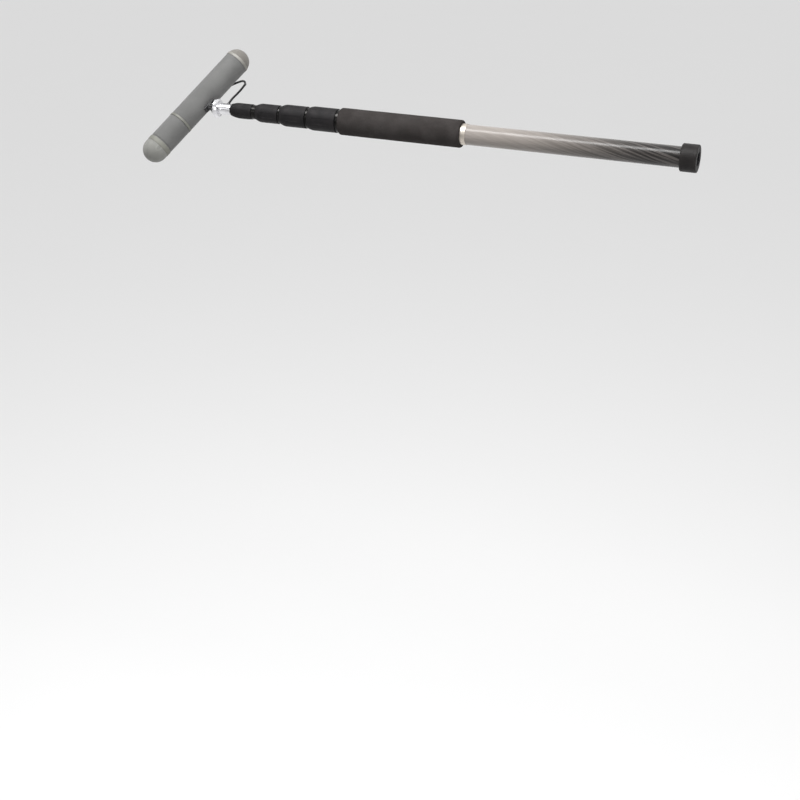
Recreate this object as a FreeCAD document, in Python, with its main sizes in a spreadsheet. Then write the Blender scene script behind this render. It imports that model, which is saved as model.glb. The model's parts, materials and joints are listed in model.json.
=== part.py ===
"""Telescoping five-section boom pole with its tip swivel, windshield and microphone, in millimetres.

The pole lies along X: the butt end is at +X, the microphone end at -X, and +Z is up. The origin is
the centre of the bare tube, where a cradle or a clamp holds the pole. Three working frames are used:
along_pole    X runs from the butt end (station 0) towards the tip
in_tilt       the same, rolled so that the tilt hinge runs along Z and the windshield lies in XY
on_shield     X runs along the windshield to its front end, Y towards the pole, Z along the hinge
"""
import FreeCAD, Part
import math
import os
import Sketcher

V = FreeCAD.Vector
doc = FreeCAD.newDocument("boom_pole")
sheet = doc.addObject("Spreadsheet::Sheet", "Sizes")
pieces = []


class Size:
    """A length or an angle, known as a number and as the sheet expression it comes from."""

    def __init__(self, value, text=None):
        self.value = float(value)
        self.text = text or repr(float(value))

    def __float__(self):
        return self.value

    def __add__(self, other):
        other = sized(other)
        return Size(self.value + other.value, f"({self.text} + {other.text})")

    def __sub__(self, other):
        other = sized(other)
        return Size(self.value - other.value, f"({self.text} - {other.text})")

    def __mul__(self, other):
        other = sized(other)
        return Size(self.value * other.value, f"({self.text} * {other.text})")

    def __truediv__(self, other):
        other = sized(other)
        return Size(self.value / other.value, f"({self.text} / {other.text})")

    def __radd__(self, other):
        return sized(other) + self

    def __rsub__(self, other):
        return sized(other) - self

    def __rmul__(self, other):
        return sized(other) * self

    def __neg__(self):
        return Size(-self.value, f"(0 - {self.text})")


def sized(value):
    return value if isinstance(value, Size) else Size(value)


rows = 0


def cell(name, value):
    """Writes one driving dimension into the sheet and returns it."""
    global rows
    rows += 1
    sheet.set(f"A{rows}", name)
    sheet.set(f"B{rows}", str(value))
    sheet.setAlias(f"B{rows}", name)
    return Size(value, f"Sizes.{name}")


# Driving dimensions. A station is a distance from the butt end along the pole.
cradle_station = cell("cradle_station", 199.15)
tube_radius = cell("tube_radius", 16)
tube_step = cell("tube_step", 2)
tube_wall = cell("tube_wall", 1.4)
tip_tube_wall = cell("tip_tube_wall", 1.2)
slide_fit = cell("slide_fit", 0.1)
joint_gap = cell("joint_gap", 0.4)
cap_length = cell("cap_length", 25.3)
cap_radius = cell("cap_radius", 21.1)
cap_floor = cell("cap_floor", 4)
socket_radius = cell("socket_radius", 9.7)
socket_shell = cell("socket_shell", 1.3)
grip_start = cell("grip_start", 371.6)
grip_end = cell("grip_end", 580.5)
grip_radius = cell("grip_radius", 21.8)
grip_ring_width = cell("grip_ring_width", 8.4)
first_inner_end = cell("first_inner_end", 60)
nested_step = cell("nested_step", 6)
bush_length = cell("bush_length", 16)
lock_reach = cell("lock_reach", 16)
nose_wall = cell("nose_wall", 2.6)
stem_radius = cell("stem_radius", 9.15)
stem_start = cell("stem_start", 780.2)
stem_split = cell("stem_split", 797)
flange_start = cell("flange_start", 803.2)
flange_end = cell("flange_end", 809.8)
flange_radius = cell("flange_radius", 16)
stud_radius = cell("stud_radius", 4.75)
lead_exit = cell("lead_exit", 790.5)
lead_radius = cell("lead_radius", 1.8)
coil_radius = cell("coil_radius", 5.5)
hinge_station = cell("hinge_station", 817)
hinge_bolt_radius = cell("hinge_bolt_radius", 2)
hinge_fit = cell("hinge_fit", 0.05)
ear_radius = cell("ear_radius", 4.8)
lug_width = cell("lug_width", 6)
fork_width = cell("fork_width", 13)
shield_station = cell("shield_station", 848.7)
shield_angle = cell("shield_angle", 66.6)
shield_roll = cell("shield_roll", 40)
shield_radius = cell("shield_radius", 21)
shield_wall = cell("shield_wall", 1.2)
shield_front = cell("shield_front", 124)
shield_back = cell("shield_back", -126.5)
band_proud = cell("band_proud", 0.45)
front_band = cell("front_band", 93.3)
split_band = cell("split_band", 39)
back_band = cell("back_band", -106)
mic_radius = cell("mic_radius", 9.5)
mic_front = cell("mic_front", 100)
mic_back = cell("mic_back", -62)

# Each lock's collar: where it starts, where it ends, and its outer radius, from the grip to the tip.
collar_starts = [cell("collar_1_start", 585.6), cell("collar_2_start", 640),
                 cell("collar_3_start", 690.6), cell("collar_4_start", 740.3)]
collar_ends = [cell("collar_1_end", 636.4), cell("collar_2_end", 686.8),
               cell("collar_3_end", 732.9), cell("collar_4_end", 779.6)]
collar_radii = [cell("collar_1_radius", 19.4), cell("collar_2_radius", 17.75),
                cell("collar_3_radius", 15.3), cell("collar_4_radius", 12.45)]
# Each collar narrows towards the tip: how long its nose is, and the radius that it ends at.
nose_lengths = [cell("nose_1_length", 6), cell("nose_2_length", 6.5), cell("nose_3_length", 7),
                cell("nose_4_length", 9.5)]
nose_radii = [cell("nose_1_radius", 17.2), cell("nose_2_radius", 14.9), cell("nose_3_radius", 12.1),
              cell("nose_4_radius", 9.9)]
nose_skin = cell("nose_skin", 0.7)

# Working frames.
along_pole = FreeCAD.Placement(V(float(cradle_station), 0, 0), FreeCAD.Rotation(V(0, 0, 1), 180))
roll = FreeCAD.Placement(V(0, 0, 0), FreeCAD.Rotation(V(1, 0, 0), -float(shield_roll)))
lean = FreeCAD.Placement(V(float(shield_station), 0, 0), FreeCAD.Rotation(V(0, 0, 1), float(shield_angle)))
in_tilt = along_pole * roll
on_shield = in_tilt * lean

# The hinge seen from the windshield: how far along it, and how far from its axis towards the pole.
hinge_reach = float(shield_station - hinge_station)
hinge_along = Size(-hinge_reach * math.cos(math.radians(float(shield_angle))),
                   "(0 - (Sizes.shield_station - Sizes.hinge_station) * cos(Sizes.shield_angle * 1 deg))")
hinge_height = Size(hinge_reach * math.sin(math.radians(float(shield_angle))),
                    "((Sizes.shield_station - Sizes.hinge_station) * sin(Sizes.shield_angle * 1 deg))")


def new_body(label, place):
    body = doc.addObject("PartDesign::Body", label)
    body.Label = label
    body.Placement = place
    pieces.append(body)
    return body


def new_sketch(body, plane, offset=0):
    """An empty sketch on one of the body's own origin planes, moved along the plane's normal."""
    number = sum(item.isDerivedFrom("Sketcher::SketchObject") for item in body.Group) + 1
    sketch = body.newObject("Sketcher::SketchObject", f"{body.Label}_sketch_{number}")
    base = next(item for item in body.Origin.OriginFeatures if item.Role == plane)
    sketch.AttachmentSupport = [(base, "")]
    sketch.MapMode = "FlatFace"
    offset = sized(offset)
    sketch.AttachmentOffset = FreeCAD.Placement(V(0, 0, float(offset)), FreeCAD.Rotation())
    sketch.setExpression("AttachmentOffset.Base.z", offset.text)
    return sketch


def tie(sketch, kind, places, size):
    """Adds one dimension and binds it to the sheet."""
    size = sized(size)
    index = sketch.addConstraint(Sketcher.Constraint(kind, *places, float(size)))
    sketch.setExpression(f"Constraints[{index}]", size.text)


def draw_outline(sketch, corners):
    """A closed outline of straight lines through the corners."""
    first = sketch.GeometryCount
    count = len(corners)
    points = [V(float(x), float(y), 0) for x, y in corners]
    for i in range(count):
        sketch.addGeometry(Part.LineSegment(points[i], points[(i + 1) % count]), False)
    for i in range(count):
        after = first + (i + 1) % count
        sketch.addConstraint(Sketcher.Constraint("Coincident", first + i, 2, after, 1))
    for i, (x, y) in enumerate(corners):
        tie(sketch, "DistanceX", (-1, 1, first + i, 1), x)
        tie(sketch, "DistanceY", (-1, 1, first + i, 1), y)


def draw_circles(sketch, centres, radius):
    for x, y in centres:
        index = sketch.addGeometry(Part.Circle(V(float(x), float(y), 0), V(0, 0, 1), float(radius)), False)
        tie(sketch, "DistanceX", (-1, 1, index, 3), x)
        tie(sketch, "DistanceY", (-1, 1, index, 3), y)
        tie(sketch, "Radius", (index,), radius)


def feature(body, kind, sketch):
    number = len(body.Group)
    made = body.newObject(f"PartDesign::{kind}", f"{body.Label}_{kind.lower()}_{number}")
    made.Profile = sketch
    return made


def turned(label, corners, place=along_pole):
    """A piece turned about the X axis of its frame: each corner is (station, radius)."""
    body = new_body(label, place)
    outline = new_sketch(body, "XY_Plane")
    draw_outline(outline, corners)
    spin = feature(body, "Revolution", outline)
    spin.ReferenceAxis = (outline, ["H_Axis"])
    spin.Angle = 360
    return body


def tube(label, start, end, inner, outer, place=along_pole):
    return turned(label, [(start, inner), (end, inner), (end, outer), (start, outer)], place)


def pad(body, sketch, length, symmetric=False):
    """Grows a sketch along its normal, or both ways where it is symmetric."""
    solid = feature(body, "Pad", sketch)
    solid.SideType = "Symmetric" if symmetric else "One side"
    solid.Length = float(length)
    solid.setExpression("Length", sized(length).text)
    return solid


def cut(body, sketch, length, symmetric=False):
    """Cuts a sketch along its normal, or both ways where it is symmetric, and checks that it bites."""
    doc.recompute()
    before = body.Tip.Shape.Volume
    hole = feature(body, "Pocket", sketch)
    hole.SideType = "Symmetric" if symmetric else "One side"
    hole.Reversed = not symmetric
    hole.Length = float(length)
    hole.setExpression("Length", sized(length).text)
    doc.recompute()
    if before - hole.Shape.Volume < 0.01:
        raise RuntimeError(f"{hole.Name} cuts nothing")
    return hole


def around(body, original, sketch, count):
    """Repeats a cut or a pad round the sketch's normal."""
    ring = body.newObject("PartDesign::PolarPattern", f"{body.Label}_ring_{len(body.Group)}")
    ring.Originals = [original]
    ring.Axis = (sketch, ["N_Axis"])
    ring.Angle = 360
    ring.Occurrences = count
    body.Tip = ring
    return ring


def soften(body, amount, rings, kind="Fillet"):
    """Rounds or chamfers the circular edges that lie at the given (station, radius) pairs."""
    doc.recompute()
    base = body.Tip
    edges = []
    for number, edge in enumerate(base.Shape.Edges, 1):
        if not isinstance(edge.Curve, Part.Circle):
            continue
        for station, radius in rings:
            near = abs(edge.Curve.Center.x - float(station)) < 1e-4
            if near and abs(edge.Curve.Radius - float(radius)) < 1e-4:
                edges.append(f"Edge{number}")
    if len(edges) < len(rings):
        raise RuntimeError(f"{body.Label}: an edge to soften is missing")
    edge_feature = body.newObject(f"PartDesign::{kind}", f"{body.Label}_{kind.lower()}_{len(body.Group)}")
    edge_feature.Base = (base, edges)
    handle = "Radius" if kind == "Fillet" else "Size"
    setattr(edge_feature, handle, float(amount))
    edge_feature.setExpression(handle, sized(amount).text)


def ring_of(count, radius, start=0):
    """Centres of a ring of round things."""
    angles = [math.radians(start + 360 * i / count) for i in range(count)]
    return [(radius * math.cos(angle), radius * math.sin(angle)) for angle in angles]


# ---- Base section: the fat tube with the foam grip, the rubber cap and the output socket ----

screw_circle = 12.8
screw_places = ring_of(3, screw_circle, 90)
pin_places = ring_of(3, 4.4, -90)
tube_inner = tube_radius - tube_wall
shell_outer = socket_radius + socket_shell
tube("base_tube", cap_floor, collar_ends[0] - lock_reach, tube_inner, tube_radius)

grip = tube("foam_grip", grip_start, grip_end, tube_radius, grip_radius)
soften(grip, 2.5, [(grip_start, grip_radius), (grip_end, grip_radius)])

grip_ring = tube("grip_ring", grip_start - grip_ring_width, grip_start, tube_radius, tube_radius + 0.7)
soften(grip_ring, 0.5, [(grip_start - grip_ring_width, tube_radius + 0.7)])

cap = turned("base_cap", [(0, shell_outer), (cap_floor, shell_outer), (cap_floor, tube_radius),
                          (cap_length, tube_radius), (cap_length, cap_radius), (0, cap_radius)])
soften(cap, 1.6, [(0, cap_radius)])
soften(cap, 1.2, [(cap_length, cap_radius)], "Chamfer")
for hole_radius, depth in ((1.0, cap_floor), (1.75, 2.2)):
    holes = new_sketch(cap, "YZ_Plane")
    draw_circles(holes, screw_places, hole_radius)
    cut(cap, holes, depth)

plug_end = cap_floor + 32
plug = turned("base_plug", [(cap_floor, shell_outer), (30, shell_outer), (30, 3), (plug_end, 3),
                            (plug_end, tube_inner), (cap_floor, tube_inner)])
holes = new_sketch(plug, "YZ_Plane", cap_floor)
draw_circles(holes, screw_places, 1.0)
cut(plug, holes, 10)

screws = new_body("cap_screws", along_pole)
heads = new_sketch(screws, "YZ_Plane", 0.6)
draw_circles(heads, screw_places, 1.7)
pad(screws, heads, 1.6)
shanks = new_sketch(screws, "YZ_Plane", 2.2)
draw_circles(shanks, screw_places, 1.0)
pad(screws, shanks, 11)
slots = new_sketch(screws, "YZ_Plane", 0.6)
draw_circles(slots, screw_places, 0.8)
cut(screws, slots, 0.9)

socket_shell_piece = tube("socket_shell", 0.8, 30, socket_radius, shell_outer)
soften(socket_shell_piece, 0.5, [(0.8, socket_radius)])
insert = tube("socket_insert", 17, 27, 0.8, socket_radius)
holes = new_sketch(insert, "YZ_Plane", 17)
draw_circles(holes, pin_places, 1.2)
cut(insert, holes, 10)
pins = new_body("socket_pins", along_pole)
stems = new_sketch(pins, "YZ_Plane", 7)
draw_circles(stems, pin_places, 1.2)
pad(pins, stems, 21.5)
doc.recompute()

# The curly inner cable, one closed cylinder of its outer size, with its straight ends.
coil_start = plug_end + 8
coil_end = 752
turned("inner_cable", [(plug_end - 5, 0), (788, 0), (788, lead_radius), (coil_end, lead_radius),
                       (coil_end, coil_radius), (coil_start, coil_radius),
                       (coil_start, lead_radius), (plug_end - 5, lead_radius)])


# ---- Inner sections, each nested in the one before it ----

tube_radii = [tube_radius - tube_step * i for i in range(5)]
inner_starts = [first_inner_end + nested_step * i for i in range(4)]
tube_ends = [collar_ends[i] - lock_reach for i in range(4)] + [stem_start - 0.5]
for i in range(1, 5):
    number = i + 1
    wall = tip_tube_wall if number == 5 else tube_wall
    radius = tube_radii[i]
    start = inner_starts[i - 1]
    bore = tube_radii[i - 1] - tube_wall
    tube(f"tube_{number}", start, tube_ends[i], radius - wall, radius)
    passage = coil_radius + 0.7
    bush = turned(f"bush_{number}", [(start - 4, passage), (start, passage), (start, radius),
                                     (start + bush_length, radius), (start + bush_length, bore - slide_fit),
                                     (start - 4, bore - slide_fit)])


# ---- Twist locks: a threaded ferrule, a split collet, and a rubber-covered nut ----

gap_starts = [grip_end] + collar_ends[:3]
for i in range(4):
    number = i + 1
    start = collar_starts[i]
    end = collar_ends[i]
    outer = collar_radii[i]
    held = tube_radii[i]
    sliding = tube_radii[i + 1]
    room = outer - held
    thread = held + room * 0.32
    nut_bore = thread + 0.3
    nut_outer = nut_bore + room * 0.28
    tube_end = end - lock_reach
    flange = gap_starts[i] + 0.5
    ferrule = turned(f"ferrule_{number}", [(flange, held), (tube_end, held), (tube_end + 0.2, held),
                                           (tube_end + 3, held + 0.2), (tube_end + 3, thread),
                                           (start - joint_gap, thread), (start - joint_gap, nut_outer),
                                           (flange, nut_outer)])
    soften(ferrule, 0.5, [(start - joint_gap, nut_outer)])
    collet_end = end - nose_wall - 0.4
    collet = turned(f"collet_{number}", [(tube_end + 0.3, sliding + slide_fit), (collet_end, sliding + slide_fit),
                                         (collet_end, held - 1.4), (tube_end + 6, held + 0.1),
                                         (tube_end + 6, held - 0.1), (tube_end + 0.3, held - 0.1)])
    slit = new_sketch(collet, "YZ_Plane", tube_end + 3)
    draw_outline(slit, [(sliding - 1, -0.4), (held + 1, -0.4), (held + 1, 0.4), (sliding - 1, 0.4)])
    around(collet, cut(collet, slit, 12), slit, 6)
    shoulder = end - nose_lengths[i]
    nut_nose = nose_radii[i] - nose_skin
    nut = turned(f"lock_nut_{number}", [(start, nut_bore), (shoulder - 0.5, nut_bore), (end - nose_wall, held - 1),
                                        (end - nose_wall, sliding + 0.5), (end, sliding + 0.5),
                                        (end, nut_nose), (shoulder, nut_outer), (start, nut_outer)])
    sleeve = turned(f"collar_{number}", [(start + 0.2, nut_outer), (shoulder, nut_outer), (end, nut_nose),
                                         (end, nose_radii[i]), (shoulder, outer), (start + 0.2, outer)])
    soften(sleeve, 4, [(shoulder, outer)])
    soften(sleeve, 0.5, [(start + 0.2, outer)])
    panel = new_sketch(sleeve, "YZ_Plane", start + 6)
    half = outer * 0.3
    draw_outline(panel, [(outer - 0.7, -half), (outer + 1, -half), (outer + 1, half), (outer - 0.7, half)])
    around(sleeve, cut(sleeve, panel, shoulder - start - 9), panel, 6)


# ---- Tip: fitting, stud, swivel flange, fork, bolt and knob ----

spigot = tube_radii[4] - tip_tube_wall
fitting = turned("tip_fitting", [(760, 4), (795, 4), (795, 0), (stem_split, 0), (stem_split, stem_radius),
                                 (stem_start, stem_radius), (stem_start, spigot), (760, spigot)], in_tilt)
soften(fitting, 0.6, [(stem_start, stem_radius), (stem_split, stem_radius)], "Chamfer")
side_hole = new_sketch(fitting, "XZ_Plane", 3)
draw_circles(side_hole, [(lead_exit, 0)], lead_radius + 0.9)
cut(fitting, side_hole, 8)

exit_bush = new_body("exit_bush", in_tilt)
rim = new_sketch(exit_bush, "XZ_Plane", 4.2)
draw_circles(rim, [(lead_exit, 0)], lead_radius + 0.9)
draw_circles(rim, [(lead_exit, 0)], lead_radius + 0.1)
pad(exit_bush, rim, 7.2)

tube("tip_stud", stem_split, 807.5, 0.5, stud_radius, in_tilt)

swivel = turned("swivel_flange", [(stem_split, stud_radius), (807.5, stud_radius), (807.5, 0), (flange_end, 0),
                                  (flange_end, flange_radius), (flange_start, flange_radius),
                                  (flange_start, stem_radius), (stem_split, stem_radius)], in_tilt)
soften(swivel, 2.6, [(flange_start, flange_radius)], "Chamfer")
soften(swivel, 0.6, [(flange_end, flange_radius), (stem_split, stem_radius)], "Chamfer")
holes = new_sketch(swivel, "YZ_Plane", flange_start)
draw_circles(holes, ring_of(2, 11.8, 120), 1.1)
cut(swivel, holes, 2)

fork = new_body("swivel_fork", in_tilt)
fork_floor = flange_end + 1.9
block = new_sketch(fork, "XY_Plane")
draw_outline(block, [(flange_end, -8.5), (fork_floor, -8.5), (hinge_station, -ear_radius),
                     (hinge_station, ear_radius), (fork_floor, 8.5), (flange_end, 8.5)])
pad(fork, block, fork_width, True)
ears = new_sketch(fork, "XY_Plane")
draw_circles(ears, [(hinge_station, 0)], ear_radius)
pad(fork, ears, fork_width, True)
slot = new_sketch(fork, "XY_Plane")
draw_outline(slot, [(fork_floor, -10), (hinge_station + 8, -10), (hinge_station + 8, 10), (fork_floor, 10)])
cut(fork, slot, lug_width + 0.6, True)
bore = new_sketch(fork, "XY_Plane")
draw_circles(bore, [(hinge_station, 0)], hinge_bolt_radius)
cut(fork, bore, 30, True)

bolt = new_body("hinge_bolt", in_tilt)
shank = new_sketch(bolt, "XY_Plane", -fork_width / 2 - 6)
draw_circles(shank, [(hinge_station, 0)], hinge_bolt_radius)
pad(bolt, shank, fork_width + 6)
head = new_sketch(bolt, "XY_Plane", fork_width / 2)
draw_circles(head, [(hinge_station, 0)], 3.5)
pad(bolt, head, 2.2)
socket = new_sketch(bolt, "XY_Plane", fork_width / 2 + 1)
corners = [(hinge_station + x, y) for x, y in ring_of(6, 1.7)]
draw_outline(socket, corners)
cut(bolt, socket, 1.4)

knob = new_body("tilt_knob", in_tilt)
disc = new_sketch(knob, "XY_Plane", -fork_width / 2 - 6.4)
draw_circles(disc, [(hinge_station, 0)], 5)
draw_circles(disc, [(hinge_station, 0)], hinge_bolt_radius + hinge_fit)
pad(knob, disc, 6)
for x, y in ring_of(10, 5.4):
    flute = new_sketch(knob, "XY_Plane", -fork_width / 2 - 6.4)
    draw_circles(flute, [(hinge_station + x, y)], 0.9)
    cut(knob, flute, 6)


# ---- Windshield: basket, domes and bands, with a front pod that pulls off ----

shield_inner = shield_radius - shield_wall
band_radius = shield_radius + band_proud
front_dome = shield_front - shield_radius
back_dome = shield_back + shield_radius
split = split_band + 2


def dome(label, start, end, place=on_shield):
    """A hollow round end: its outline is a quarter circle, swept about the windshield's axis."""
    side = 1 if float(end) > float(start) else -1
    body = new_body(label, place)
    sketch = new_sketch(body, "XY_Plane")
    x = float(start)
    radii = [float(shield_radius), float(shield_inner)]
    for radius in radii:
        low, high = (0, math.pi / 2) if side > 0 else (math.pi / 2, math.pi)
        circle = Part.Circle(V(x, 0, 0), V(0, 0, 1), radius)
        sketch.addGeometry(Part.ArcOfCircle(circle, low, high), False)
    tips = [V(x + side * radius, 0, 0) for radius in radii]
    rims = [V(x, radius, 0) for radius in radii]
    sketch.addGeometry(Part.LineSegment(tips[0], tips[1]), False)
    sketch.addGeometry(Part.LineSegment(rims[0], rims[1]), False)
    tip_end, rim_end = (1, 2) if side > 0 else (2, 1)
    for index, radius in enumerate((shield_radius, shield_inner)):
        sketch.addConstraint(Sketcher.Constraint("Coincident", 2, index + 1, index, tip_end))
        sketch.addConstraint(Sketcher.Constraint("Coincident", 3, index + 1, index, rim_end))
        tie(sketch, "DistanceX", (-1, 1, index, 3), start)
        tie(sketch, "DistanceY", (-1, 1, index, 3), 0)
        tie(sketch, "Radius", (index,), radius)
    sketch.addConstraint(Sketcher.Constraint("Horizontal", 2))
    sketch.addConstraint(Sketcher.Constraint("Vertical", 3))
    spin = feature(body, "Revolution", sketch)
    spin.ReferenceAxis = (sketch, ["H_Axis"])
    spin.Angle = 360
    return body


def band(label, centre, width):
    piece = tube(label, centre - width / 2, centre + width / 2, shield_radius, band_radius, on_shield)
    soften(piece, 0.3, [(centre - width / 2, band_radius), (centre + width / 2, band_radius)])


basket = tube("basket", back_dome, split, shield_inner, shield_radius, on_shield)
dome("back_dome", back_dome, shield_back)
band("back_band", back_band, sized(4.5))
band("split_band", split_band, sized(4))
pod = tube("front_pod", split + 0.3, front_dome, shield_inner, shield_radius, on_shield)
dome("front_dome", front_dome, shield_front)
band("front_band", front_band, sized(8))

# The rail inside the basket, its clips, and the foot outside, held by two screws through the wall.
rail_top = shield_inner - 0.5
foot_screws_at = [(hinge_along - 7.5, 0), (hinge_along + 7.5, 0)]
rail = new_body("shock_rail", on_shield)
bar = new_sketch(rail, "XY_Plane")
draw_outline(bar, [(-80, rail_top - 3), (30, rail_top - 3), (30, rail_top), (-80, rail_top)])
pad(rail, bar, 7, True)

clips = new_body("shock_clips", on_shield)
hoops = []
for station in (-55, 15):
    hoop = new_sketch(clips, "YZ_Plane", station)
    draw_circles(hoop, [(0, 0)], mic_radius + 2.2)
    draw_circles(hoop, [(0, 0)], mic_radius)
    pad(clips, hoop, 8)
    leg = new_sketch(clips, "YZ_Plane", station)
    low = mic_radius + 1.9
    draw_outline(leg, [(low, -2.5), (rail_top - 3, -2.5), (rail_top - 3, 2.5), (low, 2.5)])
    pad(clips, leg, 8)

foot = new_body("windshield_foot", on_shield)
base = new_sketch(foot, "XY_Plane")
draw_outline(base, [(hinge_along - 11, 17), (hinge_along + 11, 17), (hinge_along + 11, shield_radius + 1.4),
                    (hinge_along + 8, shield_radius + 2.4), (hinge_along - 8, shield_radius + 2.4),
                    (hinge_along - 11, shield_radius + 1.4)])
pad(foot, base, 11, True)
lug = new_sketch(foot, "XY_Plane")
draw_outline(lug, [(hinge_along - 6.5, 19), (hinge_along + 6.5, 19), (hinge_along + ear_radius, hinge_height),
                   (hinge_along - ear_radius, hinge_height)])
pad(foot, lug, lug_width, True)
lug_end = new_sketch(foot, "XY_Plane")
draw_circles(lug_end, [(hinge_along, hinge_height)], ear_radius)
pad(foot, lug_end, lug_width, True)
bore = new_sketch(foot, "XY_Plane")
draw_circles(bore, [(hinge_along, hinge_height)], hinge_bolt_radius + hinge_fit)
cut(foot, bore, 30, True)
seat = new_sketch(foot, "XY_Plane")
draw_outline(seat, [(hinge_along - 15, 0), (hinge_along + 15, 0), (hinge_along + 15, shield_radius),
                    (hinge_along - 15, shield_radius)])
hollow = feature(foot, "Groove", seat)
hollow.ReferenceAxis = (seat, ["H_Axis"])
hollow.Angle = 360

# Screws run along -Y, from the rail outwards into the foot: sketches lie on XZ, whose normal is -Y.
screws = new_body("foot_screws", on_shield)
for offset, length, screw_radius in ((-(rail_top - 3), 1.4, 2.0), (-(rail_top - 1.6), 4.7, 1.1)):
    circle = new_sketch(screws, "XZ_Plane", offset)
    draw_circles(circle, foot_screws_at, screw_radius)
    grown = pad(screws, circle, length)
    grown.Reversed = True
for body, start, length, hole_radius in ((rail, rail_top - 3, 1.4, 2.0), (rail, rail_top - 2, 3, 1.1),
                                         (basket, rail_top, 6, 1.1), (foot, shield_radius - 0.5, 2.0, 1.1)):
    holes = new_sketch(body, "XZ_Plane", -sized(start))
    draw_circles(holes, foot_screws_at, hole_radius)
    doc.recompute()
    before = body.Tip.Shape.Volume
    hole = feature(body, "Pocket", holes)
    hole.Length = float(length)
    hole.setExpression("Length", sized(length).text)
    doc.recompute()
    if before - hole.Shape.Volume < 0.01:
        raise RuntimeError(f"{hole.Name} cuts nothing")

# Microphone: a slotted interference tube on a plain barrel, with the plug of the lead behind it.
mic = turned("microphone", [(mic_back, 0), (mic_front, 0), (mic_front, mic_radius), (20, mic_radius),
                            (19, mic_radius - 0.6), (17, mic_radius - 0.6), (16, mic_radius),
                            (mic_back, mic_radius)], on_shield)
soften(mic, 1, [(mic_front, mic_radius), (mic_back, mic_radius)])
slit = new_sketch(mic, "YZ_Plane", 30)
draw_outline(slit, [(mic_radius - 1.2, -0.8), (mic_radius + 1, -0.8), (mic_radius + 1, 0.8),
                    (mic_radius - 1.2, 0.8)])
around(mic, cut(mic, slit, 60), slit, 8)
plug = turned("lead_plug", [(mic_back - 34, 0), (mic_back, 0), (mic_back, 9.3), (mic_back - 22, 9.3),
                            (mic_back - 26, 7), (mic_back - 34, 4)], on_shield)

# The gland that the lead leaves the windshield by, low on the side away from the pole's front.
gland_turn = -108
gland_along = -68.8
gland_place = on_shield * FreeCAD.Placement(V(gland_along, 0, 0), FreeCAD.Rotation(V(1, 0, 0), gland_turn))
gland = new_body("lead_gland", gland_place)
ring = new_sketch(gland, "XZ_Plane", -(shield_inner - 1.2))
draw_circles(ring, [(0, 0)], lead_radius + 1.4)
draw_circles(ring, [(0, 0)], lead_radius + 0.1)
grown = pad(gland, ring, shield_wall + 3.2)
grown.Reversed = True
hole = new_sketch(basket, "XZ_Plane")
hole.AttachmentOffset = FreeCAD.Placement(V(0, 0, 0), FreeCAD.Rotation(V(1, 0, 0), gland_turn))
draw_circles(hole, [(gland_along, 0)], lead_radius + 1.4)
wall_hole = feature(basket, "Pocket", hole)
wall_hole.Length = float(shield_radius + 4)
wall_hole.setExpression("Length", (shield_radius + 4).text)


# ---- The lead: straight runs joined by tangent arcs ----

def rounded_wire(points):
    """Straight runs joined by the largest tangent arcs that 0.45 of the shorter run leaves room for."""
    edges = []
    here = points[0]
    for before, corner, after in zip(points, points[1:], points[2:]):
        come = (corner - before).normalize()
        go = (after - corner).normalize()
        half = come.getAngle(go) / 2
        reach = 0.45 * min((corner - before).Length, (after - corner).Length)
        radius = reach / math.tan(half)
        print(f"lead bend: radius {radius:.1f} mm, {radius / (2 * float(lead_radius)):.1f} diameters")
        start = corner - come * reach
        end = corner + go * reach
        inward = (go - come).normalize()
        middle = corner + inward * (radius / math.cos(half) - radius)
        edges.append(Part.LineSegment(here, start).toShape())
        edges.append(Part.Arc(start, middle, end).toShape())
        here = end
    edges.append(Part.LineSegment(here, points[-1]).toShape())
    return Part.Wire(edges)


def round_tube(wire, radius):
    start = wire.Edges[0].Vertexes[0].Point
    along = wire.Edges[0].tangentAt(wire.Edges[0].FirstParameter)
    ring = Part.Wire([Part.makeCircle(radius, start, along)])
    solid = wire.makePipeShell([ring], True, True)
    share = solid.Volume / (math.pi * radius * radius * wire.Length)
    print(f"lead: {wire.Length:.1f} mm long, volume {share:.4f} of section times length")
    return solid


# Points of the lead's route in the in_tilt frame, written as (station, distance behind, height).
lead_route = [(790.5, 11.8, 0), (788.5, 21, 0), (782, 36.5, -1), (778.6, 49.4, -1), (780.4, 58.8, -10.2),
              (786.4, 64.2, -18.8), (794.6, 83.3, -20.7), (820.3, 80.8, -45.1), (832.54, 67.97, -37.43),
              (827.33, 65.72, -19.97)]
wire = rounded_wire([V(station, -behind, height) for station, behind, height in lead_route])
lead = doc.addObject("Part::Feature", "mic_lead")
lead.Shape = round_tube(wire, float(lead_radius))
lead.Placement = in_tilt
pieces.append(lead)

# Inside the windshield the lead turns back from its plug to the gland.
out = gland_place.multVec(V(0, float(shield_inner) - 1.4, 0))
tail_end = on_shield.inverse().multVec(out)
side = V(0, math.cos(math.radians(gland_turn)), math.sin(math.radians(gland_turn)))
tail_route = [V(float(mic_back) - 34, 0, 0), V(float(mic_back) - 44, 0, 0),
              V(float(mic_back) - 46, 0, 0) + side * 13.5, V(gland_along - 6, 0, 0) + side * 14, tail_end]
tail = doc.addObject("Part::Feature", "lead_tail")
tail.Shape = round_tube(rounded_wire(tail_route), float(lead_radius))
tail.Placement = on_shield
pieces.append(tail)


def trouble():
    """Every feature that failed, and every piece whose shape can't be used."""
    failed = [item.Name for item in doc.Objects if {"Invalid", "Error"} & set(item.State)]
    for piece in pieces:
        if piece.Shape.isNull() or not piece.Shape.isValid() or not piece.Shape.Solids:
            failed.append(piece.Label)
    return failed


doc.recompute()
if trouble():
    raise RuntimeError(f"these failed: {trouble()}")
os.makedirs("parts", exist_ok=True)
for piece in pieces:
    piece.Shape.exportStep(f"parts/{piece.Label}.step")
print(f"{len(pieces)} pieces written")
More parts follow.
